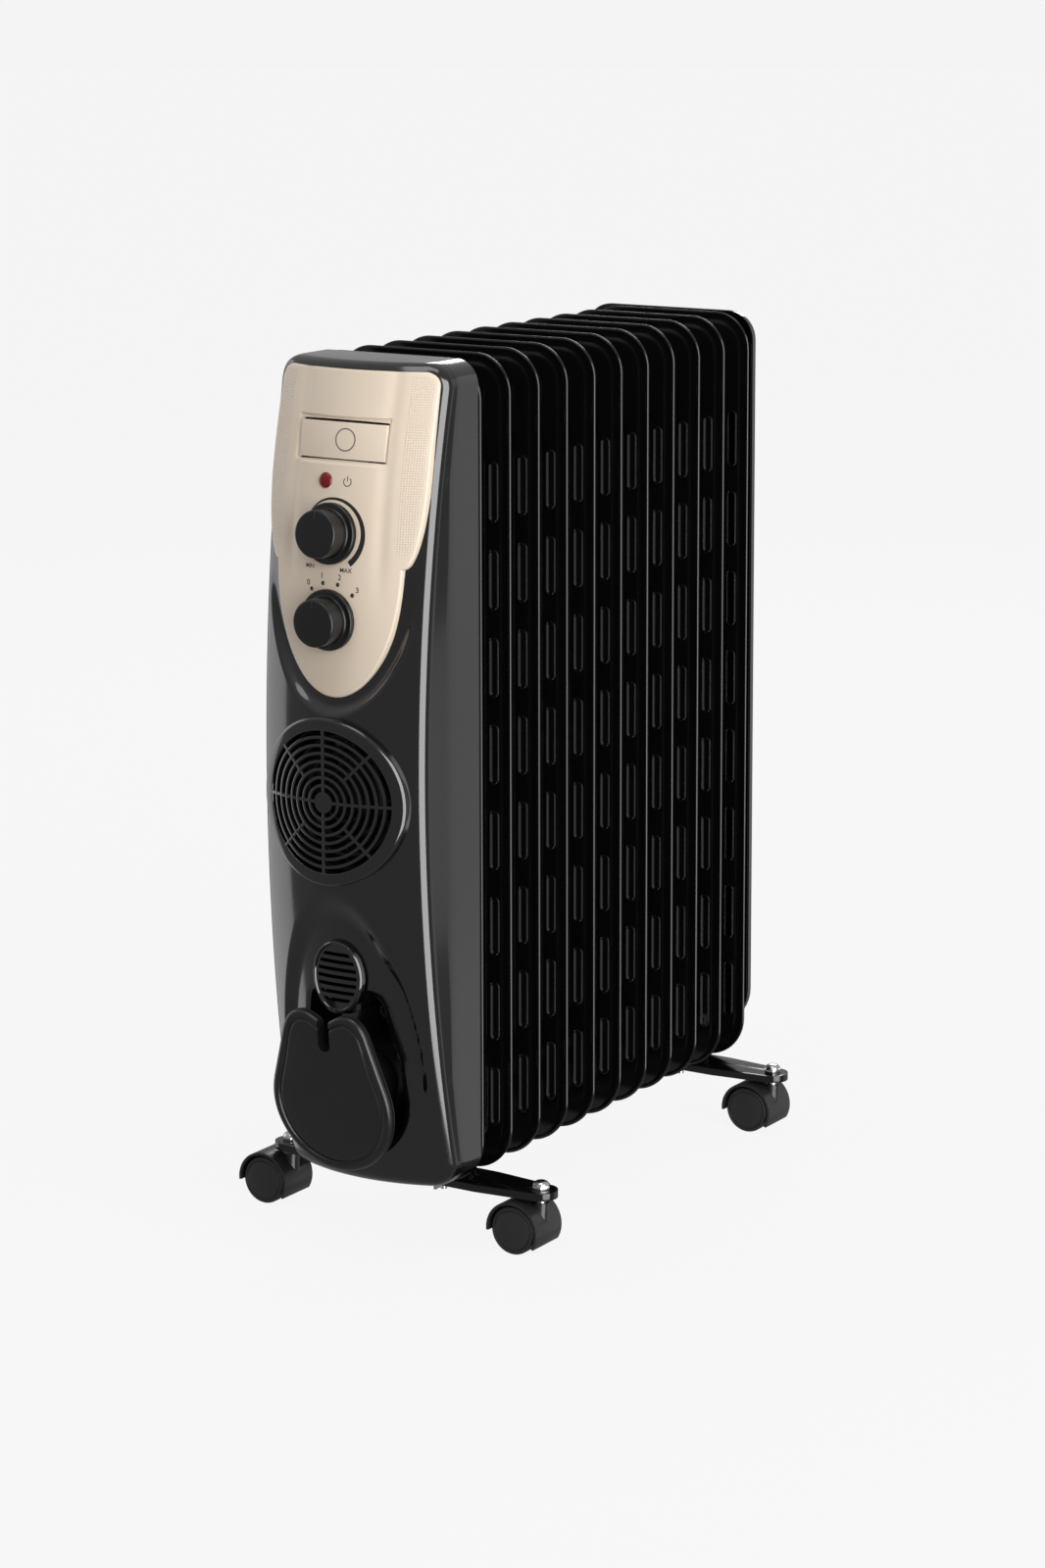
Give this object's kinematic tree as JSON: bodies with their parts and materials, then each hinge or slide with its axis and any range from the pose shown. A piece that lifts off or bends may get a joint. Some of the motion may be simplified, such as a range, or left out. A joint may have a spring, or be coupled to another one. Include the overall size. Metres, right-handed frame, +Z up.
{
  "type": "oil filled radiator heater",
  "caption": "Oil-filled column radiator on twin-wheel casters, with a curved control housing, two knobs, a rocker switch, a fan grille and a cord store.",
  "frame": {"origin": "on the floor, under the middle of the whole heater", "axes": "+Z up, the control housing faces -Y, the fins follow one another along +Y, and X is side to side"},
  "size_m": [0.264, 0.4872, 0.6355],
  "materials": {
    "gloss_black_cover": "gloss",
    "champagne_panel": "satin with a fine dot texture",
    "champagne_rocker": "satin",
    "black_enamel": "gloss stoved enamel",
    "satin_black_plastic": "satin",
    "caster_black": "semi-gloss",
    "caster_tread": "fine moulded grain",
    "red_lens": "translucent gloss",
    "bright_zinc": "bright zinc plating",
    "galvanised_sheet": "galvanised",
    "element_steel": "heat-dulled",
    "brass_fitting": "machined",
    "inner_plastic": "moulded",
    "ceramic_body": "matt"
  },
  "bodies": {
    "root": {"front_cover": "gloss_black_cover", "control_panel": "champagne_panel", "rocker_body": "inner_plastic", "pilot_light": "red_lens", "thermostat_body": "ceramic_body", "selector_body": "inner_plastic", "fan_grille": "gloss_black_cover", "fan_duct": "inner_plastic", "fan_heater": "element_steel", "fan_motor": "galvanised_sheet", "vent_grille": "gloss_black_cover", "cord_plate": "satin_black_plastic", "cord_drum": "satin_black_plastic", "cord_gland": "satin_black_plastic", "back_plate": "galvanised_sheet", "cover_screws": "bright_zinc", "terminal_block": "ceramic_body", "thermal_cutout": "ceramic_body", "heater_flange": "brass_fitting", "heating_element": "element_steel", "fin_01": "black_enamel", "fin_02": "black_enamel", "fin_03": "black_enamel", "fin_04": "black_enamel", "fin_05": "black_enamel", "fin_06": "black_enamel", "fin_07": "black_enamel", "fin_08": "black_enamel", "fin_09": "black_enamel", "fin_10": "black_enamel", "fin_11": "black_enamel", "upper_header": "black_enamel", "lower_header": "black_enamel", "rear_cap": "gloss_black_cover", "rear_cap_nuts": "bright_zinc", "foot_bracket_front": "black_enamel", "foot_bracket_rear": "black_enamel", "bracket_u_bolts": "bright_zinc", "bracket_wing_nuts": "bright_zinc", "caster_stems": "bright_zinc", "caster_cap_nuts": "bright_zinc"},
    "rocker": {"rocker_button": "champagne_rocker"},
    "thermostat": {"thermostat_knob": "satin_black_plastic", "thermostat_shaft": "bright_zinc"},
    "selector": {"selector_knob": "satin_black_plastic", "selector_shaft": "bright_zinc"},
    "impeller": {"fan_impeller": "inner_plastic", "fan_shaft": "bright_zinc"},
    "caster_fr": {"caster_hood_fr": "caster_black", "caster_axle_fr": "bright_zinc"},
    "wheels_fr": {"caster_wheels_fr": "caster_tread"},
    "caster_fl": {"caster_hood_fl": "caster_black", "caster_axle_fl": "bright_zinc"},
    "wheels_fl": {"caster_wheels_fl": "caster_tread"},
    "caster_rr": {"caster_hood_rr": "caster_black", "caster_axle_rr": "bright_zinc"},
    "wheels_rr": {"caster_wheels_rr": "caster_tread"},
    "caster_rl": {"caster_hood_rl": "caster_black", "caster_axle_rl": "bright_zinc"},
    "wheels_rl": {"caster_wheels_rl": "caster_tread"}
  },
  "joints": [
    {"name": "rocker_tilt", "type": "hinge", "parent": "root", "child": "rocker", "pos_m": [0.01175, -0.19752, 0.57937], "axis": [-1, 0, 0], "range_deg": [0, 8]},
    {"name": "thermostat_turn", "type": "hinge", "parent": "root", "child": "thermostat", "pos_m": [0.01175, -0.21989, 0.5185], "axis": [0, 0.9946, -0.1033], "range_deg": [0, 280]},
    {"name": "selector_turn", "type": "hinge", "parent": "root", "child": "selector", "pos_m": [0.01175, -0.22295, 0.4595], "axis": [0, 1, 0], "range_deg": [0, 84]},
    {"name": "impeller_spin", "type": "hinge", "parent": "root", "child": "impeller", "pos_m": [0.01175, -0.19445, 0.3335], "axis": [0, -1, 0], "continuous": true},
    {"name": "caster_swivel_fr", "type": "hinge", "parent": "root", "child": "caster_fr", "pos_m": [0.12, -0.1247, 0.04], "axis": [0, 0, 1], "continuous": true},
    {"name": "wheel_roll_fr", "type": "hinge", "parent": "caster_fr", "child": "wheels_fr", "pos_m": [0.1055, -0.1247, 0.0175], "axis": [0, 1, 0], "continuous": true},
    {"name": "caster_swivel_fl", "type": "hinge", "parent": "root", "child": "caster_fl", "pos_m": [-0.0965, -0.1247, 0.04], "axis": [0, 0, 1], "continuous": true},
    {"name": "wheel_roll_fl", "type": "hinge", "parent": "caster_fl", "child": "wheels_fl", "pos_m": [-0.111, -0.1247, 0.0175], "axis": [0, 1, 0], "continuous": true},
    {"name": "caster_swivel_rr", "type": "hinge", "parent": "root", "child": "caster_rr", "pos_m": [0.12, 0.2128, 0.04], "axis": [0, 0, 1], "continuous": true},
    {"name": "wheel_roll_rr", "type": "hinge", "parent": "caster_rr", "child": "wheels_rr", "pos_m": [0.1055, 0.2128, 0.0175], "axis": [0, 1, 0], "continuous": true},
    {"name": "caster_swivel_rl", "type": "hinge", "parent": "root", "child": "caster_rl", "pos_m": [-0.0965, 0.2128, 0.04], "axis": [0, 0, 1], "continuous": true},
    {"name": "wheel_roll_rl", "type": "hinge", "parent": "caster_rl", "child": "wheels_rl", "pos_m": [-0.111, 0.2128, 0.0175], "axis": [0, 1, 0], "continuous": true}
  ]
}
